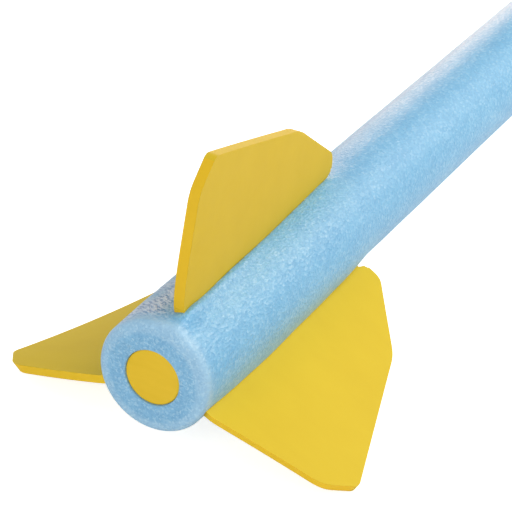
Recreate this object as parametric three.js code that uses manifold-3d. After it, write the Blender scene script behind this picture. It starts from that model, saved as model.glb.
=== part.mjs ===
// Foam javelin: a soft foam tube with three EVA fins, a plug in its tail and a rounded foam nose.
// Millimetres. +X runs from tail to nose, +Z is up, and the javelin lies on two fins and its nose.
import * as THREE from "three";
import { mergeVertices } from "three/addons/utils/BufferGeometryUtils.js";
import Module from "manifold-3d";

const wasm = await Module();
wasm.setup();

// Fit between pieces, and how far a cutting solid runs past what it cuts.
const CLEARANCE = 0.3;
const OVERRUN = 2;

// Foam tube: a 2.5 in tube with a hand-cut, softly rounded tail edge.
const TUBE_LENGTH = 842;
const TUBE_RADIUS = 31.75;
const BORE_RADIUS = 16.8;
const TUBE_SIDES = 56;
const TAIL_ROUNDING = 4.5;
const FRONT_ROUNDING = 1;
const TAIL_RADIUS = 33.7; // the tail edge, spread by the fins
const SWOLLEN_RADIUS = 34.5; // the fins' roots wedge the foam apart
const SWELL_FADE = 34; // from the last full swelling to the plain tube, ahead of the fins

// Fins: 1/4 in sheet. A height is measured from the swollen tube.
const FIN = {
  thickness: 6.35,
  edge: 1.4, // softening of the cut edge
  tab: 12, // depth of the root in the tube's wall
  rearRoot: 6.4, // ahead of the tail face
  frontRoot: 205,
  pivot: 112.5, // where a slot that is turned off the axis crosses its true line
  rearTop: [19.2, 72.1, 3.5], // along, height, and how far the corner's rounding reaches
  tip: [38.6, 87, 3.5],
  shoulder: [158.4, 52, 7],
  brow: [213.4, 13.7, 5.8],
  front: [213.5, 2, 4],
  bend: 3, // over which the blade leans away from its root
};
const FIN_LEVELS = 18;
const FIN_COLUMNS = 14;

// Degrees, seen from behind: the slot's place from the top towards the right side, its turn away
// from the tube's axis, and the blade's lean at the tip and at the shoulder. Then how far its
// curve carries the tip aside.
const FINS = [
  { name: "fin_top", slot: 1.8, cant: -2.7, leanRear: -0.9, leanFront: -3.3, bow: -1.6 },
  { name: "fin_right", slot: 123, cant: 1.8, leanRear: -11.4, leanFront: -8.4, bow: 1.5 },
  { name: "fin_left", slot: -123, cant: -1.7, leanRear: 9.5, leanFront: 0.5, bow: 4.2 },
];

// Tail plug and nose.
const PLUG = { length: 40, recess: 1.1, rounding: 0.8 };
const NOSE = { length: 58, spigot: 60, rounding: 1.5, tipShare: 0.62 };
const NOSE_STEPS = 20;

const SETTLING_STEPS = 12;

const YELLOW = new THREE.MeshStandardMaterial({ color: 0xe3c638, roughness: 0.75, metalness: 0 });
const BLUE = new THREE.MeshStandardMaterial({ color: 0x9fcbe8, roughness: 0.6, metalness: 0 });

// A closed geometry as a manifold-3d solid.
function solid(geometry) {
  const bare = geometry.index ? geometry.toNonIndexed() : geometry.clone();
  bare.deleteAttribute("normal");
  bare.deleteAttribute("uv");
  const merged = mergeVertices(bare);
  return new wasm.Manifold(new wasm.Mesh({
    numProp: 3,
    vertProperties: merged.attributes.position.array,
    triVerts: new Uint32Array(merged.index.array),
  }));
}

// A manifold-3d solid as a geometry.
function geometryOf(made) {
  const { vertProperties, triVerts } = made.getMesh();
  const geometry = new THREE.BufferGeometry();
  geometry.setAttribute("position", new THREE.BufferAttribute(vertProperties, 3));
  geometry.setIndex(new THREE.BufferAttribute(triVerts, 1));
  geometry.computeVertexNormals();
  return geometry;
}

// A profile of [along X, radius] points turned about the X axis.
function turned(profile) {
  const points = profile.map(([along, radius]) => new THREE.Vector2(radius, along));
  return new THREE.LatheGeometry(points, TUBE_SIDES).rotateZ(-Math.PI / 2);
}

// Smooth step between 0 and 1.
function ease(share) {
  return THREE.MathUtils.smoothstep(share, 0, 1);
}

// The tube's outer radius at a distance from the tail face.
function tubeRadius(along) {
  const rise = ease(along / FIN.tip[0]);
  const swollen = TAIL_RADIUS + (SWOLLEN_RADIUS - TAIL_RADIUS) * rise;
  const fall = ease((along - FIN.frontRoot + SWELL_FADE) / SWELL_FADE / 2);
  return swollen + (TUBE_RADIUS - swollen) * fall;
}

// Points of a quarter round from one end to the other, both ends included.
function quarterRound(centreAlong, centreRadius, size, startAngle, endAngle, steps) {
  return Array.from({ length: steps + 1 }, (_, i) => {
    const angle = startAngle + ((endAngle - startAngle) * i) / steps;
    return [centreAlong + size * Math.cos(angle), centreRadius + size * Math.sin(angle)];
  });
}

// Outer edge of the tube from the tail face to the front face.
function tubeProfile() {
  const swellEnd = FIN.frontRoot + SWELL_FADE;
  const stations = 20;
  const side = Array.from({ length: stations }, (_, i) => {
    const along = TAIL_ROUNDING + ((swellEnd - TAIL_ROUNDING) * (i + 1)) / stations;
    return [along, tubeRadius(along)];
  });
  const tailEdge = quarterRound(
    TAIL_ROUNDING, tubeRadius(TAIL_ROUNDING) - TAIL_ROUNDING, TAIL_ROUNDING, Math.PI, Math.PI / 2, 4);
  const frontEdge = quarterRound(
    TUBE_LENGTH - FRONT_ROUNDING, TUBE_RADIUS - FRONT_ROUNDING, FRONT_ROUNDING, Math.PI / 2, 0, 2);
  const bore = [[TUBE_LENGTH, BORE_RADIUS], [0, BORE_RADIUS]];
  return [[0, BORE_RADIUS], ...tailEdge, ...side, ...frontEdge, ...bore];
}

// The fin's outline above the tube, its corners rounded, as points from rear root to front root.
function finOutline() {
  const corners = [
    [FIN.rearRoot, 0], FIN.rearTop, FIN.tip, FIN.shoulder, FIN.brow, FIN.front, [FIN.frontRoot, 0],
  ];
  const spots = corners.map(([along, height]) => new THREE.Vector2(along, height));
  const path = new THREE.Path().moveTo(spots[0].x, spots[0].y);
  for (let i = 1; i < spots.length - 1; i += 1) {
    const [before, corner, after] = spots.slice(i - 1, i + 2);
    const reach = Math.min(corners[i][2], corner.distanceTo(before) / 2, corner.distanceTo(after) / 2);
    const start = corner.clone().add(before.clone().sub(corner).setLength(reach));
    const end = corner.clone().add(after.clone().sub(corner).setLength(reach));
    path.lineTo(start.x, start.y).quadraticCurveTo(corner.x, corner.y, end.x, end.y);
  }
  path.lineTo(spots.at(-1).x, spots.at(-1).y);
  return path.getPoints(4);
}

const OUTLINE = finOutline();
const FIN_HEIGHT = Math.max(...OUTLINE.map((point) => point.y));
const MID_ROOT = (FIN.rearRoot + FIN.frontRoot) / 2;

// Where the outline starts and ends at a height above the tube. Below it the root runs straight down.
function reachAt(height) {
  if (height <= 0) return [FIN.rearRoot, FIN.frontRoot];
  const crossings = [];
  for (let i = 1; i < OUTLINE.length; i += 1) {
    const [a, b] = [OUTLINE[i - 1], OUTLINE[i]];
    if ((a.y - height) * (b.y - height) <= 0 && a.y !== b.y) {
      crossings.push(a.x + ((b.x - a.x) * (height - a.y)) / (b.y - a.y));
    }
  }
  return [Math.min(...crossings), Math.max(...crossings)];
}

// A point of a fin: along the tube, height above it, and offset through the sheet's thickness.
function finPoint(fin, along, height, through) {
  const radians = THREE.MathUtils.degToRad;
  const forward = (along - FIN.tip[0]) / (FIN.shoulder[0] - FIN.tip[0]);
  const lean = radians(fin.leanRear + (fin.leanFront - fin.leanRear) * forward);
  const clear = height - FIN.bend;
  const raised = (clear + Math.hypot(clear, FIN.bend)) / 2; // next to nothing in the slot, all of it above
  const squared = through * Math.sin(lean) * Math.min(1, raised / FIN.bend); // keeps the sheet's edges square
  const up = height - raised * (1 - Math.cos(lean)) - squared;
  const curved = fin.bow * (raised / FIN.tip[1]) ** 2;
  const offAxis = (along - FIN.pivot) * Math.tan(radians(fin.cant));
  const aside = offAxis + raised * Math.sin(lean) + curved + through;
  const angle = radians(fin.slot);
  const radius = SWOLLEN_RADIUS + up;
  return [
    along,
    -radius * Math.sin(angle) - aside * Math.cos(angle),
    radius * Math.cos(angle) - aside * Math.sin(angle),
  ];
}

// Heights of the fin's rows of points, from the root in the wall to the tip.
function finRows() {
  const rows = [-FIN.tab, -FIN.tab / 3, 0, FIN.bend / 2, FIN.bend];
  for (let i = 1; i <= FIN_LEVELS; i += 1) {
    rows.push(FIN.bend + (FIN_HEIGHT - FIN.bend) * Math.sin((Math.PI / 2) * (i / (FIN_LEVELS + 1))));
  }
  return rows;
}

// A closed sheet over the fin's rows, with softened rear and front edges.
function finGeometry(fin) {
  const rows = finRows();
  const half = FIN.thickness / 2;
  const grid = rows.map((height) => {
    const [start, end] = reachAt(height);
    const edge = Math.min(FIN.edge, (end - start) / 4);
    const row = [start];
    for (let i = 0; i < FIN_COLUMNS; i += 1) {
      row.push(start + edge + ((end - start - 2 * edge) * i) / (FIN_COLUMNS - 1));
    }
    row.push(end);
    return row.map((along, i) => {
      const depth = i === 0 || i === row.length - 1 ? half - edge : half;
      return [finPoint(fin, along, height, depth), finPoint(fin, along, height, -depth)];
    });
  });
  const positions = [];
  const face = (a, b, c, d) => positions.push(...a, ...b, ...c, ...a, ...c, ...d);
  const last = FIN_COLUMNS + 1;
  for (let j = 1; j < grid.length; j += 1) {
    for (let i = 1; i <= last; i += 1) {
      face(grid[j - 1][i - 1][0], grid[j - 1][i][0], grid[j][i][0], grid[j][i - 1][0]);
      face(grid[j - 1][i][1], grid[j - 1][i - 1][1], grid[j][i - 1][1], grid[j][i][1]);
    }
    face(grid[j - 1][0][1], grid[j - 1][0][0], grid[j][0][0], grid[j][0][1]);
    face(grid[j - 1][last][0], grid[j - 1][last][1], grid[j][last][1], grid[j][last][0]);
  }
  const [bottom, top] = [grid[0], grid.at(-1)];
  for (let i = 1; i <= last; i += 1) {
    face(bottom[i - 1][1], bottom[i][1], bottom[i][0], bottom[i - 1][0]);
    face(top[i - 1][0], top[i][0], top[i][1], top[i - 1][1]);
  }
  const geometry = new THREE.BufferGeometry();
  geometry.setAttribute("position", new THREE.Float32BufferAttribute(positions, 3));
  return geometry;
}

// The slot that takes a fin's root, with clearance all round it, cut through the tube's wall.
function slotGeometry(fin) {
  const length = FIN.frontRoot - FIN.rearRoot + 2 * CLEARANCE;
  const depth = FIN.tab + CLEARANCE + OVERRUN;
  const plate = new THREE.BoxGeometry(length, FIN.thickness + 2 * CLEARANCE, depth, 1, 1, 1);
  plate.translate(MID_ROOT - FIN.pivot, 0, (OVERRUN - FIN.tab - CLEARANCE) / 2);
  const shear = Math.tan(THREE.MathUtils.degToRad(fin.cant));
  plate.applyMatrix4(new THREE.Matrix4().makeShear(-shear, 0, 0, 0, 0, 0));
  plate.translate(FIN.pivot, 0, SWOLLEN_RADIUS);
  return plate.rotateX(THREE.MathUtils.degToRad(fin.slot));
}

// The tube, with a slot for each fin.
function tubeGeometry() {
  const slots = FINS.map((fin) => solid(slotGeometry(fin)));
  return geometryOf(slots.reduce((made, slot) => made.subtract(slot), solid(turned(tubeProfile()))));
}

// The round plug glued into the tail of the bore, set in a little from the face.
function plugGeometry() {
  const radius = BORE_RADIUS - CLEARANCE;
  const rear = PLUG.recess;
  const front = PLUG.recess + PLUG.length;
  return turned([
    [rear, 0],
    ...quarterRound(rear + PLUG.rounding, radius - PLUG.rounding, PLUG.rounding, Math.PI, Math.PI / 2, 3),
    ...quarterRound(front - PLUG.rounding, radius - PLUG.rounding, PLUG.rounding, Math.PI / 2, 0, 3),
    [front, 0],
  ]);
}

// The rounded nose, with a spigot that plugs into the front of the bore.
function noseGeometry() {
  const radius = BORE_RADIUS - CLEARANCE;
  const rear = TUBE_LENGTH - NOSE.spigot;
  const seat = TUBE_LENGTH + CLEARANCE;
  const dome = Array.from({ length: NOSE_STEPS }, (_, i) => {
    const angle = ((Math.PI / 2) * i) / NOSE_STEPS;
    const along = seat + NOSE.rounding + (NOSE.length - NOSE.rounding) * Math.sin(angle);
    return [along, TUBE_RADIUS * Math.cos(angle) ** NOSE.tipShare];
  });
  const { rounding } = NOSE;
  const spigotEdge = quarterRound(rear + rounding, radius - rounding, rounding, Math.PI, Math.PI / 2, 3);
  const seatEdge = quarterRound(seat + rounding, TUBE_RADIUS - rounding, rounding, Math.PI, Math.PI / 2, 3);
  return turned([
    [rear, 0],
    ...spigotEdge,
    [seat, radius],
    ...seatEdge.slice(0, -1),
    ...dome,
    [seat + NOSE.length, 0],
  ]);
}

function piece(name, geometry, material) {
  const mesh = new THREE.Mesh(geometry, material);
  mesh.name = name;
  return mesh;
}

// The lowest point of some meshes once the javelin is turned.
function lowest(meshes, attitude) {
  const low = new THREE.Vector3(0, 0, Infinity);
  const spot = new THREE.Vector3();
  for (const mesh of meshes) {
    const spots = mesh.geometry.getAttribute("position");
    for (let i = 0; i < spots.count; i += 1) {
      spot.fromBufferAttribute(spots, i).applyQuaternion(attitude);
      if (spot.z < low.z) low.copy(spot);
    }
  }
  return low;
}

// The attitude in which the right fin, the left fin and the front end all rest on one level floor.
function settled(feet) {
  const attitude = new THREE.Quaternion();
  for (let i = 0; i < SETTLING_STEPS; i += 1) {
    const [right, left, front] = feet.map((meshes) => lowest(meshes, attitude));
    const normal = left.sub(right).cross(right.sub(front)).normalize();
    attitude.premultiply(new THREE.Quaternion().setFromUnitVectors(normal, new THREE.Vector3(0, 0, 1)));
  }
  const heading = new THREE.Euler().setFromQuaternion(attitude, "ZYX");
  return attitude.setFromEuler(new THREE.Euler(heading.x, heading.y, 0, "ZYX"));
}

const tube = piece("foam_tube", tubeGeometry(), BLUE);
const [finTop, finRight, finLeft] = FINS.map((fin) => piece(fin.name, finGeometry(fin), YELLOW));
const plug = piece("tail_plug", plugGeometry(), YELLOW);
const nose = piece("nose_cap", noseGeometry(), YELLOW);

const javelin = new THREE.Group();
javelin.add(tube, finTop, finRight, finLeft, plug, nose);
javelin.quaternion.copy(settled([[finRight], [finLeft], [tube, nose]]));
const reach = new THREE.Box3().setFromObject(javelin, true);
const middle = reach.getCenter(new THREE.Vector3());
javelin.position.set(-middle.x, -middle.y, -reach.min.z);

const root = new THREE.Group();
root.add(javelin);
export default root;
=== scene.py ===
# Foam javelin, dressed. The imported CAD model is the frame, and each piece is modelled here in full detail.
import math

import bmesh
import bpy
from mathutils import Matrix, Vector, noise


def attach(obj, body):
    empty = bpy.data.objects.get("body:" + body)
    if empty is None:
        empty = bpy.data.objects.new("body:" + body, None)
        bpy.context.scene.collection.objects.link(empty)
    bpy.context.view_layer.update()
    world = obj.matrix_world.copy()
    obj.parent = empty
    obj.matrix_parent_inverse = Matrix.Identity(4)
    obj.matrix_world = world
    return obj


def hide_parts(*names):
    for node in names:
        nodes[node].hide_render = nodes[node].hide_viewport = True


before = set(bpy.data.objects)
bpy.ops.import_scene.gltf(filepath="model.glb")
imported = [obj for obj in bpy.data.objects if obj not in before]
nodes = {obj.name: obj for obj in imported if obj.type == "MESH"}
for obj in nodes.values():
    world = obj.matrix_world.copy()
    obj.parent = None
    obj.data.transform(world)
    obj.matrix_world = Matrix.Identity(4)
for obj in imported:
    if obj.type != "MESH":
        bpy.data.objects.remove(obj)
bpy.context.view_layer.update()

MM = 0.001

# Foam tube
TUBE_LENGTH = 842 * MM
TUBE_RADIUS = 31.75 * MM
BORE_RADIUS = 16.8 * MM
TAIL_RADIUS = 33.7 * MM
SWOLLEN_RADIUS = 34.5 * MM  # where the fins' roots wedge the tube apart
SWELL_FADE = 34 * MM
TAIL_ROUNDING = 4.5 * MM
BORE_ROUNDING = 0.6 * MM
LIP_ROUNDING = 0.3 * MM  # the slots' edges turn inwards
LIP_WIDTH = 0.8 * MM
SQUEEZE = 0.04 * MM  # gap left between a fin and its slot
TUBE_SIDES = 288
FINE_RINGS = 150  # rings of the mesh from the tail to the end of the swelling, and from there to the nose
WIDE_RINGS = 120
FACE_RINGS = 14
TAIL_EDGE_STEPS = 9
SMALL_EDGE_STEPS = 3

# Unevenness of the tube: how high it is, and how many waves there are to a metre
WAVES = 0.16 * MM
WAVES_PER_METRE = 28
FINE_WAVES = WAVES / 3
FINE_WAVES_PER_METRE = 90
SKIN_SHARE = 0.92  # of the tube's radius, from which the waves have their full height
FACE_DIP = 0.22 * MM  # the hand-cut tail face
FACE_DIPS_PER_METRE = 60
FACE_DIP_LAYER = 7
FACE_GRAIN = 0.05 * MM
FACE_GRAINS_PER_METRE = 400
FACE_GRAIN_LAYER = 3

# Where the tube's looks change
CUT_EDGE = 3 * MM  # the tail face's cut foam gives way to the skin over this depth
CUT_EDGE_WAVE = CUT_EDGE / 4
CUT_EDGE_WAVES_PER_METRE = 120
INNER_SHARE = 0.8  # of the tube's radius, under which the bore's and slots' walls are cut foam
INNER_FADE_SHARE = 0.1
RIM_DEPTH = 3 * MM  # the pale rim round the tail face, a painted highlight on its rounded edge
RIM_SPREAD = 4.5 * MM
WRINKLES_PLACE = 20 * MM  # the middle of the wrinkled skin along the tube, and its spread
WRINKLES_SPREAD = 38 * MM
WRINKLES_ANGLE = -38  # the same round the tube, in degrees
WRINKLES_TURN = 34
WRINKLES_LEVEL = 0.6  # the patch comes and goes in clouds about this level
WRINKLES_PER_METRE = 60
WRINKLES_STRENGTH = 1.6

# Fins: a corner is a place along the tube and a height above the swollen tube
THICKNESS = 6.35 * MM
EDGE_ROUNDING = 1.1 * MM
EDGE_PROFILE = 0.5  # a round bevel
EDGE_TURN = math.radians(60)  # the cut rear edge is what faces the rear within this turn, and takes the edge yellow, lighter by painted light
TAB = 12 * MM
FOOT = (6.4 * MM, 1 * MM)
REAR_TOP = (19.2 * MM, 72.1 * MM)
TIP = (38.6 * MM, 87 * MM)
SHOULDER = (158.4 * MM, 52 * MM)
BROW = (213.4 * MM, 13.7 * MM)
FRONT = (213.5 * MM, 2 * MM)
FRONT_ROOT = 205 * MM
FRONT_ROOT_SINK = 1 * MM
CORNER_REACH = [5 * MM, 7 * MM, 4 * MM, 8 * MM, 6 * MM, 4 * MM]  # how far each corner's rounding reaches
TAB_CORNER_REACH = 0.5 * MM
FRONT_ROOT_REACH = 2 * MM
CORNER_SHARE = 0.45  # the most of a side that a corner's rounding takes
PIVOT = 112.5 * MM  # a slot that is cut askew turns about here
BEND = 3 * MM  # height over which a fin bends from its slot into its lean
TOE_HEIGHT = 16 * MM  # the push at the foot of the rear edge fades over this height and length
TOE_REACH = 24 * MM
SHEET_WAVE = 0.25 * MM
SHEET_WAVES_PER_METRE = 18
CORNER_STEPS = 8
EDGE_SEGMENTS = 4
FIN_LEVELS = 24
FIN_STATIONS = 40
FIN_CROWDING = 1.5  # a power that draws the cuts across a fin together towards its rear
# slot: its angle from the top; askew: its turn off the axis; lean: the fin's at the tip and the shoulder,
# all in degrees. bow: the curve at the tip. toe: how far the tight slot pushes the rear edge's foot
# forward. under: how far the lower face is cut back at the rear and tip edges. lower: the side of the
# lower face. shifts: how far the hand-cut corners lie from the plain ones, from the foot round to the
# front, in millimetres.
FINS = {
    "fin_top": dict(
        slot=1.8, askew=-2.7, lean=(-0.9, -3.3), bow=-1.6 * MM, toe=9 * MM, under=(0, 0), lower=-1,
        shifts=[(0.2, 0), (0.3, 0), (-0.2, -0.7), (0, -0.9), (0, -0.4), (0, 0)],
    ),
    "fin_right": dict(
        slot=123, askew=1.8, lean=(-11.4, -8.4), bow=1.5 * MM, toe=0, under=(3.7 * MM, 1.9 * MM), lower=1,
        shifts=[(-0.6, 0), (0.3, -0.1), (-0.4, 0.6), (0, 0.4), (-0.4, 0.1), (0, 0)],
    ),
    "fin_left": dict(
        slot=-123, askew=-1.7, lean=(9.5, 0.5), bow=4.2 * MM, toe=0, under=(2.7 * MM, 1.9 * MM), lower=-1,
        shifts=[(-1, 0), (-1, 0.2), (0.6, -0.2), (0, 0), (0, 0), (0, 0)],
    ),
}
# Where a fin's root pushes the foam up: the fin, the place along the tube, the spread ahead and behind, the
# rise beside the fin's right or upper side, and the rise on its other side.
RIDGES = [
    ("fin_top", 50 * MM, 52 * MM, 50 * MM, 3.4 * MM, 0.3 * MM),
    ("fin_top", 18 * MM, 14 * MM, 10 * MM, 4.3 * MM, 0.3 * MM),
    ("fin_top", FRONT_ROOT, 12 * MM, 20 * MM, 1.2 * MM, 0.6 * MM),
    ("fin_right", 75 * MM, 35 * MM, 50 * MM, 0.3 * MM, 0.9 * MM),
    ("fin_right", FRONT_ROOT, 20 * MM, 50 * MM, 0, -1.2 * MM),
]
RIDGE_WIDTH = 6 * MM

# Plug and nose
PLUG_LENGTH = 40 * MM
PLUG_RECESS = 1.1 * MM
PLUG_ROUNDING = 0.8 * MM
PLUG_DIP = 0.2 * MM
PLUG_DIPS_PER_METRE = 70
PLUG_DIP_LAYER = 1
PLUG_RINGS = 12
PLUG_EDGE_STEPS = 5
NOSE_LENGTH = 58 * MM
NOSE_SPIGOT = 60 * MM
NOSE_ROUNDING = 1.5 * MM
NOSE_POWER = 0.62  # of the dome's cosine: the less, the blunter the nose
NOSE_WAVE = 0.1 * MM
NOSE_WAVES_PER_METRE = 40
NOSE_RINGS = 48
NOSE_EDGE_STEPS = 4
ROUND_SIDES = 144
FIT = 0.3 * MM

# The javelin lies rolled a little, so that both lower fins touch the floor.
ROLL = math.radians(0.03)

# Directions in a profile, in degrees
FORWARD = 0
OUTWARD = 90
REARWARD = 180
INWARD = 270


def mean_point(node):
    """The mean of a turned CAD solid's points, which lies on the axis."""
    points = [v.co for v in nodes[node].data.vertices]
    return sum(points, Vector()) / len(points)


def javelin_frame():
    """The matrix from the javelin's own frame, along +X from the tail face, to the part's frame."""
    rear = mean_point("tail_plug")
    forward = (mean_point("nose_cap") - rear).normalized()
    pitch = math.asin(-forward.z)
    turn = Matrix.Rotation(pitch, 4, "Y") @ Matrix.Rotation(ROLL, 4, "X")
    tail = min((v.co - rear).dot(forward) for v in nodes["foam_tube"].data.vertices)
    return Matrix.Translation(rear + forward * tail) @ turn


PLACE = javelin_frame()


def ease(share):
    """A smooth step from 0 to 1."""
    share = min(1, max(0, share))
    return share * share * (3 - 2 * share)


def spaced(start, end, count):
    """Evenly spaced numbers from start to end, with count steps between them."""
    return [start + (end - start) * i / count for i in range(count + 1)]


def tube_radius(along):
    """Outer radius of the tube, spread where the fins' roots wedge it apart."""
    swollen = TAIL_RADIUS + (SWOLLEN_RADIUS - TAIL_RADIUS) * ease(along / TIP[0])
    fall = ease((along - FRONT_ROOT + SWELL_FADE) / SWELL_FADE / 2)
    return swollen + (TUBE_RADIUS - swollen) * fall


def link_mesh(mesh, name):
    """Makes an object in the part's frame of a bmesh in the javelin's frame."""
    bmesh.ops.recalc_face_normals(mesh, faces=mesh.faces)
    data = bpy.data.meshes.new(name)
    mesh.to_mesh(data)
    mesh.free()
    data.transform(PLACE)
    made = bpy.data.objects.new(name, data)
    bpy.context.collection.objects.link(made)
    return made


def finish_piece(mesh, name, node, materials):
    """Turns a bmesh into a smooth piece that stands for a CAD node."""
    piece = link_mesh(mesh, name)
    for material in materials:
        piece.data.materials.append(material)
    piece.data.shade_smooth()
    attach(piece, "root")
    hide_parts(node)
    return piece


def ring_point(along, radius, angle):
    """A point at an angle from the top towards the right side, seen from behind."""
    return Vector((along, -radius * math.sin(angle), radius * math.cos(angle)))


def arc(along, radius, size, start, end, steps):
    """Points of a rounded profile edge, from one direction to another."""
    angles = [math.radians(angle) for angle in spaced(start, end, steps)]
    return [(along + size * math.cos(a), radius + size * math.sin(a)) for a in angles]


def face_noise(point, waves, layer):
    """Unevenness of a face across the axis. Each layer has waves of its own."""
    return noise.noise(Vector((layer, point.y * waves, point.z * waves)))


def turned(profile, sides, shape):
    """A closed body turned about the axis from a profile of (along, radius). The shape moves each point."""
    mesh = bmesh.new()
    angles = spaced(0, 2 * math.pi, sides)[:-1]
    rings = []
    for along, radius in profile:
        if radius == 0:
            rings.append([mesh.verts.new((along, 0, 0))])
        else:
            rings.append([mesh.verts.new(shape(ring_point(along, radius, a))) for a in angles])
    closing = rings[:1] if profile[0][1] > 0 else []
    for first, second in zip(rings, rings[1:] + closing):
        for i in range(sides):
            j = (i + 1) % sides
            picks = [(first, i), (first, j), (second, j), (second, i)]
            corners = [ring[k % len(ring)] for ring, k in picks]
            mesh.faces.new(list(dict.fromkeys(corners)))
    return mesh


# Fins

def slot_offset(fin, along):
    """How far a slot's line lies aside of its middle, because the slot is turned off the axis."""
    return (along - PIVOT) * math.tan(math.radians(FINS[fin]["askew"]))


def slot_rear(fin):
    """Where a slot starts, at the foot of its fin's rear edge."""
    return FOOT[0] + FINS[fin]["shifts"][0][0] * MM + FINS[fin]["toe"]


def slot_point(fin, along, radius, aside):
    """A point above a slot at a radius, and aside of the plane through the slot's angle."""
    angle = math.radians(FINS[fin]["slot"])
    return Vector((
        along,
        -radius * math.sin(angle) - aside * math.cos(angle),
        radius * math.cos(angle) - aside * math.sin(angle),
    ))


def fin_point(fin, along, height, through):
    """A point of a fin: along the tube, height above it, and offset through the sheet's thickness.

    The root stays straight in its slot. Above it the sheet leans and curves, and its edges stay square.
    """
    form = FINS[fin]
    forward = (along - TIP[0]) / (SHOULDER[0] - TIP[0])
    lean = math.radians(form["lean"][0] + (form["lean"][1] - form["lean"][0]) * forward)
    clear = height - BEND
    raised = (clear + math.hypot(clear, BEND)) / 2
    squared = through * math.sin(lean) * min(1, raised / BEND)
    radius = SWOLLEN_RADIUS + height - raised * (1 - math.cos(lean)) - squared
    curved = form["bow"] * (raised / TIP[1]) ** 2
    aside = slot_offset(fin, along) + raised * math.sin(lean) + curved + through
    return slot_point(fin, along, radius, aside)


def cut_back(corners, cuts):
    """Moves each edge of an outline inwards, by cuts[i] where the edge starts at corner i."""
    moved = []
    for i, corner in enumerate(corners):
        before = (corner - corners[i - 1]).normalized()
        after = (corners[(i + 1) % len(corners)] - corner).normalized()
        cross = after.y * before.x - before.y * after.x
        first, second = cuts[i - 1], cuts[i]
        moved.append(corner + Vector((
            (second * before.x - first * after.x) / cross,
            (second * before.y - first * after.y) / cross,
        )))
    return moved


def fin_corners(fin, lower):
    """Corners of a fin's face as along and height, from the rear of its tab round to the tab's front."""
    form = FINS[fin]
    plain = [FOOT, REAR_TOP, TIP, SHOULDER, BROW, FRONT]
    shifted = [Vector(corner) + Vector(shift) * MM for corner, shift in zip(plain, form["shifts"])]
    root = FOOT[0] + form["shifts"][0][0] * MM
    front = [Vector((FRONT_ROOT, -FRONT_ROOT_SINK)), Vector((FRONT_ROOT, -TAB))]
    corners = [Vector((root, -TAB))] + shifted + front
    if not lower:
        return corners
    rear, tip = form["under"]
    cuts = [rear, rear, tip]
    return cut_back(corners, cuts + [0] * (len(corners) - len(cuts)))


def rounded_outline(corners):
    """Points of an outline whose corners are rounded, each to its own reach."""
    reaches = [TAB_CORNER_REACH] + CORNER_REACH + [FRONT_ROOT_REACH, TAB_CORNER_REACH]
    points = []
    for i, (corner, reach) in enumerate(zip(corners, reaches)):
        before = corners[i - 1] - corner
        after = corners[(i + 1) % len(corners)] - corner
        reach = min(reach, before.length * CORNER_SHARE, after.length * CORNER_SHARE)
        start = corner + before.normalized() * reach
        end = corner + after.normalized() * reach
        for t in spaced(0, 1, CORNER_STEPS):
            points.append(start * (1 - t) ** 2 + corner * 2 * t * (1 - t) + end * t ** 2)
    return points


def slice_across(mesh, axis, places):
    """Cuts the faces of a mesh along planes across an axis, so that they can bend."""
    for place in places:
        parts = list(mesh.verts) + list(mesh.edges) + list(mesh.faces)
        bmesh.ops.bisect_plane(mesh, geom=parts, plane_co=axis * place, plane_no=axis)


def flat_fin(fin):
    """A fin's sheet before it bends: its outline in X and Y, its thickness in Z, and its edges rounded."""
    mesh = bmesh.new()
    loops = []
    for side in (-1, 1):
        outline = rounded_outline(fin_corners(fin, side == FINS[fin]["lower"]))
        loops.append([mesh.verts.new((p.x, p.y, side * THICKNESS / 2)) for p in outline])
    caps = [mesh.faces.new(loop) for loop in loops]
    for i in range(len(loops[0])):
        mesh.faces.new((loops[0][i - 1], loops[0][i], loops[1][i], loops[1][i - 1]))
    rims = [edge for cap in caps for edge in cap.edges]
    rounding = dict(offset=EDGE_ROUNDING, segments=EDGE_SEGMENTS, profile=EDGE_PROFILE, affect="EDGES")
    bmesh.ops.bevel(mesh, geom=rims, **rounding)
    slice_across(mesh, Vector((0, 1, 0)), spaced(-TAB, TIP[1], FIN_LEVELS)[1:-1])
    length = FRONT_ROOT - FOOT[0]
    shares = spaced(0, 1, FIN_STATIONS)[1:-1]
    slice_across(mesh, Vector((1, 0, 0)), [FOOT[0] + length * share ** FIN_CROWDING for share in shares])
    bmesh.ops.recalc_face_normals(mesh, faces=mesh.faces)
    return mesh


def build_fin(fin, materials):
    """A sheet fin with softly rounded edges, bent to where it stands in the photograph."""
    mesh = flat_fin(fin)
    for face in mesh.faces:
        # faces turned to the rear take the edge yellow: a more orange cut edge, made lighter than the face
        # as painted light
        face.material_index = 1 if face.normal.x < -math.cos(EDGE_TURN) else 0
    for vert in mesh.verts:
        along, height, through = vert.co
        wave = noise.noise(Vector((along, height, 0)) * SHEET_WAVES_PER_METRE) * SHEET_WAVE
        push = math.exp(-max(0, height) / TOE_HEIGHT - max(0, along - FOOT[0]) / TOE_REACH)
        vert.co = fin_point(fin, along + FINS[fin]["toe"] * push, height, through + wave)
    piece = finish_piece(mesh, fin + "_sheet", fin, materials)
    weighted = piece.modifiers.new("flat faces, round edges", "WEIGHTED_NORMAL")
    weighted.keep_sharp = True


# Tube

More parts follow.
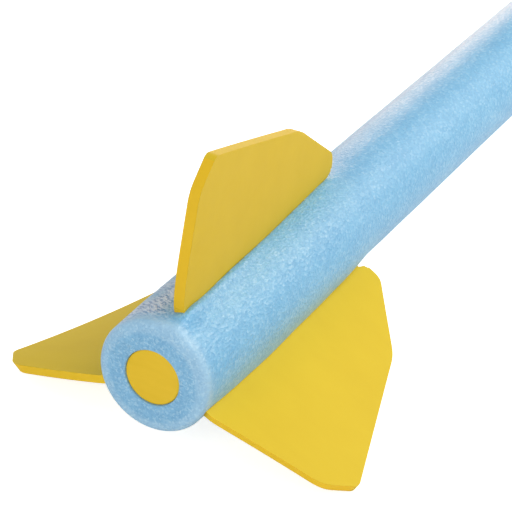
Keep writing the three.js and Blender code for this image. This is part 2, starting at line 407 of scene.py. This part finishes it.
def lip_rise(point):
    """How far the skin turns inwards at the lips of the slots, or is pushed up beside them."""
    angle = math.atan2(-point.y, point.z)
    radius = math.hypot(point.y, point.z)
    aside = {}
    rise = 0
    for fin, form in FINS.items():
        turn = (angle - math.radians(form["slot"]) + math.pi) % (2 * math.pi) - math.pi
        aside[fin] = radius * turn - slot_offset(fin, point.x)
        beside = max(0, abs(aside[fin]) - THICKNESS / 2)
        beyond = max(0, slot_rear(fin) - point.x, point.x - FRONT_ROOT)
        rise -= LIP_ROUNDING * math.exp(-(math.hypot(beside, beyond) / LIP_WIDTH) ** 2)
    for fin, place, spread_ahead, spread_behind, right, left in RIDGES:
        ahead = point.x - place
        spread = spread_ahead if ahead > 0 else spread_behind
        beside = max(0, abs(aside[fin]) - THICKNESS / 2)
        height = left + (right - left) * ease(aside[fin] / THICKNESS / 2 + 0.5)
        rise += height * math.exp(-(ahead / spread) ** 2 - (beside / RIDGE_WIDTH) ** 2)
    return rise


def soft_skin(point):
    """Moves a point of the tube's side to the uneven, lipped skin."""
    radius = math.hypot(point.y, point.z)
    outer = ease((radius - BORE_RADIUS) / (TUBE_RADIUS * SKIN_SHARE - BORE_RADIUS))
    if outer == 0:
        return point
    waves = noise.noise(point * WAVES_PER_METRE) * WAVES
    waves += noise.noise(point * FINE_WAVES_PER_METRE) * FINE_WAVES
    scale = (radius + (waves + lip_rise(point)) * outer) / radius
    return Vector((point.x, point.y * scale, point.z * scale))


def cut_face(point):
    """The hand-cut tail face isn't quite flat."""
    if point.x > TAIL_ROUNDING:
        return point
    dip = face_noise(point, FACE_DIPS_PER_METRE, FACE_DIP_LAYER) * FACE_DIP
    grain = face_noise(point, FACE_GRAINS_PER_METRE, FACE_GRAIN_LAYER) * FACE_GRAIN
    return point + Vector((dip + grain, 0, 0)) * (1 - point.x / TAIL_ROUNDING)


def slot_cutter(fin):
    """A closed plate that cuts a fin's slot out of the tube."""
    mesh = bmesh.new()
    half = THICKNESS / 2 + SQUEEZE
    ends = [slot_rear(fin) - SQUEEZE, FRONT_ROOT + SQUEEZE]
    levels = [-TAB - 2 * SQUEEZE, TAB]
    corner = {}
    for a, along in enumerate(ends):
        for b, level in enumerate(levels):
            for c, through in enumerate([-half, half]):
                aside = slot_offset(fin, along) + through
                place = slot_point(fin, along, SWOLLEN_RADIUS + level, aside)
                corner[a, b, c] = mesh.verts.new(place)
    for axis in range(3):
        for side in (0, 1):
            picks = [(0, 0), (0, 1), (1, 1), (1, 0)]
            mesh.faces.new([corner[p[:axis] + (side,) + p[axis:]] for p in picks])
    return link_mesh(mesh, "slot cutter")


def apply_modifiers(piece):
    """Makes a piece's modifiers part of its mesh."""
    evaluated = piece.evaluated_get(bpy.context.evaluated_depsgraph_get())
    data = bpy.data.meshes.new_from_object(evaluated)
    piece.modifiers.clear()
    old = piece.data
    piece.data = data
    bpy.data.meshes.remove(old)


def cut_slot(piece, fin):
    """Cuts a fin's slot out of the tube's mesh."""
    cutter = slot_cutter(fin)
    boolean = piece.modifiers.new("slot", "BOOLEAN")
    boolean.operation = "DIFFERENCE"
    boolean.solver = "EXACT"
    boolean.object = cutter
    apply_modifiers(piece)
    bpy.data.objects.remove(cutter)


def tube_stations():
    """Distances from the tail at which the tube's side has a ring: close at the fins, wider ahead."""
    swell_end = FRONT_ROOT + SWELL_FADE
    fine = spaced(TAIL_ROUNDING, swell_end, FINE_RINGS)
    return fine + spaced(swell_end, TUBE_LENGTH - NOSE_ROUNDING, WIDE_RINGS)[1:]


def tube_profile():
    """The tube's section from the bore's rear edge over the tail face and the side to the bore."""
    inner = BORE_RADIUS + BORE_ROUNDING
    outer = tube_radius(TAIL_ROUNDING) - TAIL_ROUNDING
    front = TUBE_LENGTH - NOSE_ROUNDING
    front_radius = TUBE_RADIUS - NOSE_ROUNDING
    bore_edge = arc(BORE_ROUNDING, inner, BORE_ROUNDING, INWARD, REARWARD, SMALL_EDGE_STEPS)
    face = [(0, radius) for radius in spaced(inner, outer, FACE_RINGS)[1:-1]]
    tail_edge = arc(TAIL_ROUNDING, outer, TAIL_ROUNDING, REARWARD, OUTWARD, TAIL_EDGE_STEPS)[:-1]
    side = [(along, tube_radius(along)) for along in tube_stations()]
    front_edge = arc(front, front_radius, NOSE_ROUNDING, OUTWARD, FORWARD, SMALL_EDGE_STEPS)[1:]
    bore = [(TUBE_LENGTH, BORE_RADIUS), (TUBE_LENGTH / 2, BORE_RADIUS)]
    return bore_edge + face + tail_edge + side + front_edge + bore


def near_share(distance, spread):
    """A share that is 1 at a place and falls off over a spread."""
    return math.exp(-(distance / spread) ** 2)


def foam_shares(point):
    """How far a point lies on the cut foam, on the tail's rim with its painted highlight and on the wrinkled
    skin by the top fin.
    """
    radius = math.hypot(point.y, point.z)
    depth = point.x + noise.noise(point * CUT_EDGE_WAVES_PER_METRE) * CUT_EDGE_WAVE
    faced = 1 - ease((depth - CUT_EDGE_WAVE) / CUT_EDGE)
    inside = 1 - ease((radius - TUBE_RADIUS * INNER_SHARE) / (TUBE_RADIUS * INNER_FADE_SHARE))
    # the rim: a pale band round the tail face's edge, a painted highlight
    rim = (1 - inside) * near_share(depth - RIM_DEPTH, RIM_SPREAD)
    angle = math.degrees(math.atan2(-point.y, point.z))
    near = near_share(point.x - WRINKLES_PLACE, WRINKLES_SPREAD)
    near *= near_share(angle - WRINKLES_ANGLE, WRINKLES_TURN)
    uneven = WRINKLES_LEVEL + noise.noise(point * WRINKLES_PER_METRE)
    wrinkled = min(1, max(0, uneven * WRINKLES_STRENGTH * near))
    return {"cut": max(faced, inside), "rim": rim, "wrinkled": wrinkled}


def mark_foam(piece):
    """Stores the shares of each look in the tube's mesh, for its material."""
    back = PLACE.inverted()
    shares = [foam_shares(back @ vert.co) for vert in piece.data.vertices]
    for name in shares[0]:
        marks = piece.data.attributes.new(name, "FLOAT", "POINT")
        marks.data.foreach_set("value", [share[name] for share in shares])


def build_tube(material):
    """The foam tube, with a bore and three slots."""
    mesh = turned(tube_profile(), TUBE_SIDES, lambda point: cut_face(soft_skin(point)))
    piece = finish_piece(mesh, "foam_tube_body", "foam_tube", [material])
    for fin in FINS:
        cut_slot(piece, fin)
    mark_foam(piece)


# Plug and nose

def plug_skin(point):
    """The plug's rear face isn't quite flat."""
    if point.x > PLUG_RECESS + PLUG_ROUNDING:
        return point
    return point + Vector((face_noise(point, PLUG_DIPS_PER_METRE, PLUG_DIP_LAYER) * PLUG_DIP, 0, 0))


def build_plug(material):
    """The round plug in the tail end of the bore."""
    radius = BORE_RADIUS - FIT / 3
    inner = radius - PLUG_ROUNDING
    rear = PLUG_RECESS
    front = PLUG_RECESS + PLUG_LENGTH
    face = [(rear, part) for part in spaced(0, radius, PLUG_RINGS) if part < inner]
    rear_edge = arc(rear + PLUG_ROUNDING, inner, PLUG_ROUNDING, REARWARD, OUTWARD, PLUG_EDGE_STEPS)
    front_edge = arc(front - PLUG_ROUNDING, inner, PLUG_ROUNDING, OUTWARD, FORWARD, SMALL_EDGE_STEPS)
    mesh = turned(face + rear_edge + front_edge + [(front, 0)], ROUND_SIDES, plug_skin)
    finish_piece(mesh, "tail_plug_disc", "tail_plug", [material])


def nose_skin(point):
    """The nose's surface has slight waves."""
    return point + point.normalized() * noise.noise(point * NOSE_WAVES_PER_METRE) * NOSE_WAVE


def build_nose(material):
    """The blunt nose, with a spigot in the front of the bore."""
    radius = BORE_RADIUS - FIT
    rear = TUBE_LENGTH - NOSE_SPIGOT
    seat = TUBE_LENGTH + FIT / 3
    base = seat + NOSE_ROUNDING
    rear_edge = (rear + NOSE_ROUNDING, radius - NOSE_ROUNDING, NOSE_ROUNDING)
    seat_edge = (base, TUBE_RADIUS - NOSE_ROUNDING, NOSE_ROUNDING)
    profile = [(rear, 0)] + arc(*rear_edge, REARWARD, OUTWARD, NOSE_EDGE_STEPS) + [(seat, radius)]
    profile += arc(*seat_edge, REARWARD, OUTWARD, NOSE_EDGE_STEPS)[:-1]
    for angle in spaced(0, math.pi / 2, NOSE_RINGS)[:-1]:
        along = base + (NOSE_LENGTH - NOSE_ROUNDING) * math.sin(angle)
        profile.append((along, TUBE_RADIUS * math.cos(angle) ** NOSE_POWER))
    profile.append((seat + NOSE_LENGTH, 0))
    mesh = turned(profile, ROUND_SIDES, nose_skin)
    finish_piece(mesh, "nose_cap_form", "nose_cap", [material])


# Materials

class Shader:
    """A small helper that adds and joins the nodes of one material."""

    def __init__(self, name):
        self.material = bpy.data.materials.new(name)
        self.material.use_nodes = True
        self.tree = self.material.node_tree
        self.bsdf = self.tree.nodes["Principled BSDF"]

    def node(self, kind, **values):
        """A new node, with values for its settings and its inputs."""
        made = self.tree.nodes.new(kind)
        for key, value in values.items():
            if hasattr(made, key):
                setattr(made, key, value)
            else:
                made.inputs[key].default_value = value
        return made

    def feed(self, value, socket):
        """Links an output to an input, or sets the input to a colour or a number."""
        if isinstance(value, bpy.types.NodeSocket):
            self.tree.links.new(value, socket)
        elif isinstance(value, tuple):
            socket.default_value = (*value, 1)
        else:
            socket.default_value = value

    def finish(self, **values):
        """Feeds the shader's inputs by their names, with _ for each space, and gives the material."""
        for name, value in values.items():
            self.feed(value, self.bsdf.inputs[name.replace("_", " ")])
        return self.material

    def mark(self, name):
        """A share that is stored in the mesh."""
        return self.node("ShaderNodeAttribute", attribute_name=name).outputs["Fac"]

    def mapped(self, scale, turn=(0, 0, 0)):
        """Object coordinates, turned, then scaled by an amount for each axis."""
        mapping = self.node("ShaderNodeMapping", vector_type="TEXTURE")
        mapping.inputs["Rotation"].default_value = turn
        mapping.inputs["Scale"].default_value = [1 / part for part in scale]
        self.feed(self.node("ShaderNodeTexCoord").outputs["Object"], mapping.inputs["Vector"])
        return mapping.outputs["Vector"]

    def times(self, first, second):
        """The product of two values."""
        made = self.node("ShaderNodeMath", operation="MULTIPLY")
        self.feed(first, made.inputs[0])
        self.feed(second, made.inputs[1])
        return made.outputs[0]

    def noise(self, vector, scale, detail=2.0, roughness=0.5, distortion=0.0):
        """Soft noise, about 0.5."""
        values = {"Scale": scale, "Detail": detail, "Roughness": roughness, "Distortion": distortion}
        made = self.node("ShaderNodeTexNoise", **values)
        self.feed(vector, made.inputs["Vector"])
        return made.outputs["Fac"]

    def cells(self, vector, scale, output="Distance"):
        """Small cells: the distance from each one's middle, or a colour for each."""
        made = self.node("ShaderNodeTexVoronoi", Scale=scale)
        self.feed(vector, made.inputs["Vector"])
        return made.outputs[output]

    def ramp(self, factor, stops):
        """Colours along a factor, from stops that give a place and a colour."""
        made = self.node("ShaderNodeValToRGB")
        elements = made.color_ramp.elements
        for place, _ in stops[len(elements):]:
            elements.new(place)
        for element, (place, colour) in zip(elements, stops):
            element.position = place
            element.color = (*colour, 1)
        self.feed(factor, made.inputs["Fac"])
        return made.outputs["Color"]

    def mix(self, factor, first, second):
        """Two colours mixed by a factor. The node has them at inputs 6 and 7."""
        made = self.node("ShaderNodeMix", data_type="RGBA")
        self.feed(factor, made.inputs[0])
        self.feed(first, made.inputs[6])
        self.feed(second, made.inputs[7])
        return made.outputs[2]

    def bump(self, height, relief, under=None):
        """A bump from a height, with the relief's distance and strength, over the bump under it."""
        made = self.node("ShaderNodeBump", Distance=relief[0], Strength=relief[1])
        self.feed(height, made.inputs["Height"])
        if under is not None:
            self.feed(under, made.inputs["Normal"])
        return made.outputs["Normal"]


# Textures: the scales are features to a metre. Creases and streaks get theirs from their mapping.
UNSCALED = (1, 1, 1)
DRAWN = (0.65, 1, 1)  # the skin's cells and swirls are drawn out along the tube
SKIN_CELLS = 720
PORES = 1000
CLOUDS = dict(scale=60, detail=4, roughness=0.6)
SWIRLS = dict(scale=380, detail=3, roughness=0.65, distortion=1.2)
PATCHES = dict(scale=90, detail=3)
CREASE_SLANT = math.radians(124)  # the creases' turn off the tube's line
CREASES_ALONG = 170  # creases to a metre, along them and across
CREASES_ACROSS = 740
CREASES = dict(scale=1, detail=2, roughness=0.6)
STREAKS_EACH_WAY = (48, 9.6, 48)  # the sheets' streaks are drawn out from side to side
STREAKS = dict(scale=1, detail=4, roughness=0.6)
GRAIN = dict(scale=2200, detail=2)
SCUFFS = dict(scale=120, detail=2)

# Reliefs: a bump's distance and strength
CELL_RELIEF = (0.6 * MM, 0.5)
SWIRL_RELIEF = (1.5 * MM, 0.36)
FOLD_RELIEF = (1.6 * MM, 0.8)
GRAIN_RELIEF = (0.06 * MM, 0.5)
SCUFF_RELIEF = (0.2 * MM, 0.4)

# Colours of the blue foam: the place on a ramp, and the colour there
CELL_BLUES = [(0.15, (0.088, 0.355, 0.65)), (0.6, (0.156, 0.484, 0.77)), (0.95, (0.40, 0.70, 0.92))]
CLOUD_BLUES = [(0.35, (0.128, 0.445, 0.745)), (0.65, (0.18, 0.515, 0.80))]
# where the skin is wrinkled: dark blue as painted shade in the creases, pale blue-white as painted
# highlights on the folds
CREASE_SHADE_AND_HIGHLIGHT_BLUES = [(0.42, (0.12, 0.30, 0.60)), (0.55, (0.68, 0.82, 1.0))]
PORE_BLUES = [(0.15, (0.11, 0.345, 0.60)), (0.6, (0.205, 0.48, 0.73)), (0.95, (0.47, 0.71, 0.86))]
PATCH_BLUES = [(0.35, (0.18, 0.435, 0.68)), (0.65, (0.235, 0.515, 0.75))]
# the rim's pale blue is a painted highlight
RIM_HIGHLIGHT_BLUE = (0.60, 0.80, 0.93)
CELL_ROUGHNESS = [(0.2, (0.42, 0.42, 0.42)), (0.8, (0.34, 0.34, 0.34))]
CUT_ROUGHNESS = (0.7, 0.7, 0.7)
CELL_SHARE = 0.4
PORE_SHARE = 0.55
# how far the wrinkles' painted shade and highlights cover the skin
CREASE_SHADE_AND_HIGHLIGHT_SHARE = 0.8
RIM_HIGHLIGHT_SHARE = 0.36
SKIN_SPECULAR = 1.0
SKIN_SHEEN = 0.15
SHEEN_ROUGHNESS = 0.4
SHEEN_TINT = (1, 0.94, 0.96)

# Yellow foams: the lighter and the deeper colour, and the roughness
SHEET_SPECULAR = 0.25
STREAK_STOPS = (0.3, 0.7)
YELLOWS = {
    "fin face": ((0.755, 0.552, 0.0165), (0.73, 0.526, 0.014), 0.55),
    # the rear edges' yellow: more orange for the cut, and lighter than the face as painted light
    "fin edge": ((0.92, 0.60, 0.02), (0.88, 0.57, 0.016), 0.65),
    # the top fin: darker than the other fins as painted shade; its rear edge is also more orange and lighter
    # than its face, as painted light
    "top fin face": ((0.71, 0.503, 0.0175), (0.685, 0.48, 0.015), 0.55),
    "top fin edge": ((0.80, 0.505, 0.017), (0.76, 0.48, 0.0135), 0.65),
    "plug foam": ((0.82, 0.54, 0.031), (0.71, 0.46, 0.011), 0.65),
}


def crease_turn():
    """The turn that lays the wrinkles aslant over the skin on the left of the top fin."""
    angle = math.radians(WRINKLES_ANGLE)
    along = Vector((1, 0, 0))
    out = Vector((0, -math.sin(angle), math.cos(angle)))
    crease = along * math.cos(CREASE_SLANT) + along.cross(out) * math.sin(CREASE_SLANT)
    return Matrix((crease, out.cross(crease), out)).transposed().to_euler()


def skin_blue(s, drawn, cells, creases, wrinkled):
    """Fine cells over soft clouds; where the skin is wrinkled, painted shade in the creases and painted
    highlights on the folds.
    """
    skin = s.mix(CELL_SHARE, s.ramp(s.noise(drawn, **CLOUDS), CLOUD_BLUES), s.ramp(cells, CELL_BLUES))
    return s.mix(s.times(wrinkled, CREASE_SHADE_AND_HIGHLIGHT_SHARE), skin, s.ramp(creases, CREASE_SHADE_AND_HIGHLIGHT_BLUES))


def cut_blue(s):
    """Open cells over soft patches."""
    wide = s.mapped(UNSCALED)
    pores = s.ramp(s.cells(wide, PORES, "Color"), PORE_BLUES)
    return s.mix(PORE_SHARE, s.ramp(s.noise(wide, **PATCHES), PATCH_BLUES), pores)


def skin_relief(s, drawn, creases, wrinkled):
    """Cells, swirls over them, and folds over both where the skin is wrinkled."""
    fine = s.bump(s.cells(drawn, SKIN_CELLS), CELL_RELIEF)
    swirled = s.bump(s.noise(drawn, **SWIRLS), SWIRL_RELIEF, fine)
    return s.bump(s.times(creases, wrinkled), FOLD_RELIEF, swirled)


def tube_foam():
    """Closed-cell foam: a satin skin of fine glittering cells with painted shade and highlights in its
    wrinkles, an open-celled cut face and a pale rim that is a painted highlight.
    """
    s = Shader("tube foam")
    drawn = s.mapped(DRAWN)
    creased = s.mapped((CREASES_ALONG, CREASES_ACROSS, CREASES_ACROSS), crease_turn())
    creases = s.noise(creased, **CREASES)
    cells = s.cells(drawn, SKIN_CELLS, "Color")
    cut = s.mark("cut")
    wrinkled = s.mark("wrinkled")
    foam = s.mix(cut, skin_blue(s, drawn, cells, creases, wrinkled), cut_blue(s))
    return s.finish(
        Base_Color=s.mix(s.times(s.mark("rim"), RIM_HIGHLIGHT_SHARE), foam, RIM_HIGHLIGHT_BLUE),
        Roughness=s.mix(cut, s.ramp(cells, CELL_ROUGHNESS), CUT_ROUGHNESS),
        Normal=skin_relief(s, drawn, creases, wrinkled),
        Specular_IOR_Level=SKIN_SPECULAR,
        Sheen_Weight=SKIN_SHEEN,
        Sheen_Roughness=SHEEN_ROUGHNESS,
        Sheen_Tint=SHEEN_TINT,
    )


def fin_sheet(name, light, deep, roughness):
    """EVA sheet: even and matte, with faint drawn streaks and a few scuffs."""
    s = Shader(name)
    wide = s.mapped(UNSCALED)
    streaks = s.noise(s.mapped(STREAKS_EACH_WAY), **STREAKS)
    grain = s.bump(s.noise(wide, **GRAIN), GRAIN_RELIEF)
    return s.finish(
        Base_Color=s.ramp(streaks, list(zip(STREAK_STOPS, (deep, light)))),
        Roughness=roughness,
        Specular_IOR_Level=SHEET_SPECULAR,
        Normal=s.bump(s.noise(wide, **SCUFFS), SCUFF_RELIEF, grain),
    )


# Stage
WHITE = (1, 1, 1)
FLOOR_WHITE = (0.9, 0.9, 0.9)
FLOOR_ROUGHNESS = 0.9
FLOOR_GLOW = 0.75
FLOOR_SIDE = 8
FLOOR_DROP = 0.2 * MM  # about where the fins' lowest points lie
STUDIO_LIGHT = 0.475
# Each lamp's place, the point that it faces, its width and height, all in metres, its watts and its colour
SOFTBOXES = {
    "key": ((-0.1, -0.9, 1.6), (-0.2, 0, 0), (1.2, 1.2), 9.8, WHITE),
    "front": ((0.74, -0.68, 0.88), (-0.3, 0, 0), (1.0, 1.0), 9.0, (1, 0.87, 0.74)),
    "rim": ((0.75, 0.52, 0.13), (0, 0, 0.05), (0.56, 0.36), 2.1, (1, 0.74, 0.56)),
    "fill": ((-1.7, 0.05, 0.6), (-0.4, 0, 0), (1.0, 1.0), 6.6, WHITE),
}
# The camera's place and target in metres, and its lens and sensor in millimetres
CAMERA_PLACE = Vector((-1.23967, -0.42869, 0.67767))
CAMERA_TARGET = Vector((-0.30601, 0.01169, 0.055))
CAMERA_ROLL = math.radians(5.16)
LENS = 143.11
SENSOR = 36


def seen_apart(tree, plain, seen, output):
    """Joins two shaders, so that the camera sees the second and everything else meets the first."""
    path = tree.nodes.new("ShaderNodeLightPath")
    choose = tree.nodes.new("ShaderNodeMixShader")
    tree.links.new(path.outputs["Is Camera Ray"], choose.inputs[0])
    tree.links.new(plain.outputs[0], choose.inputs[1])
    tree.links.new(seen.outputs[0], choose.inputs[2])
    tree.links.new(choose.outputs[0], tree.nodes[output].inputs["Surface"])


def build_floor():
    """A white floor that keeps the javelin's shadow."""
    s = Shader("white floor")
    s.finish(Base_Color=FLOOR_WHITE, Roughness=FLOOR_ROUGHNESS, Specular_IOR_Level=0)
    lit = s.node("ShaderNodeAddShader")
    s.feed(s.bsdf.outputs[0], lit.inputs[0])
    s.feed(s.node("ShaderNodeEmission", Strength=FLOOR_GLOW).outputs[0], lit.inputs[1])
    seen_apart(s.tree, s.bsdf, lit, "Material Output")
    bpy.ops.mesh.primitive_plane_add(size=FLOOR_SIDE)
    floor = bpy.context.object
    floor.name = "floor"
    floor.location = (0, 0, -FLOOR_DROP)
    floor.data.materials.append(s.material)


def build_world():
    """Even studio light, and a white backdrop for the camera."""
    world = bpy.data.worlds.new("studio")
    world.use_nodes = True
    tree = world.node_tree
    light = tree.nodes["Background"]
    backdrop = tree.nodes.new("ShaderNodeBackground")
    for background, strength in ((light, STUDIO_LIGHT), (backdrop, 1)):
        background.inputs["Color"].default_value = (*WHITE, 1)
        background.inputs["Strength"].default_value = strength
    seen_apart(tree, light, backdrop, "World Output")
    bpy.context.scene.world = world


def aimed(place, target):
    """The turn that faces a lamp or a camera from its place to a target."""
    return (Vector(target) - Vector(place)).to_track_quat("-Z", "Y")


def build_softbox(name, place, target, size, watts, colour):
    """A soft lamp of an oval outline."""
    data = bpy.data.lights.new(name, "AREA")
    data.color = colour
    data.shape = "ELLIPSE"
    data.size, data.size_y = size
    data.energy = watts
    lamp = bpy.data.objects.new(name, data)
    lamp.location = place
    lamp.rotation_euler = aimed(place, target).to_euler()
    bpy.context.collection.objects.link(lamp)


def build_camera():
    """A camera where the photograph was taken from."""
    data = bpy.data.cameras.new("camera")
    data.lens = LENS
    data.sensor_width = SENSOR
    camera = bpy.data.objects.new("camera", data)
    look = aimed(CAMERA_PLACE, CAMERA_TARGET).to_matrix().to_4x4()
    camera.matrix_world = Matrix.Translation(CAMERA_PLACE) @ look @ Matrix.Rotation(CAMERA_ROLL, 4, "Z")
    bpy.context.collection.objects.link(camera)
    bpy.context.scene.camera = camera


yellows = {name: fin_sheet(name, *look) for name, look in YELLOWS.items()}

build_tube(tube_foam())
for fin_name in FINS:
    # the top fin takes darker yellows, painted shade
    sheet = "top fin" if fin_name == "fin_top" else "fin"
    build_fin(fin_name, [yellows[sheet + " face"], yellows[sheet + " edge"]])
build_plug(yellows["plug foam"])
build_nose(yellows["fin face"])

build_floor()
build_world()
for lamp_name, lamp_values in SOFTBOXES.items():
    build_softbox(lamp_name, *lamp_values)
build_camera()

bpy.context.scene.view_settings.view_transform = "Standard"
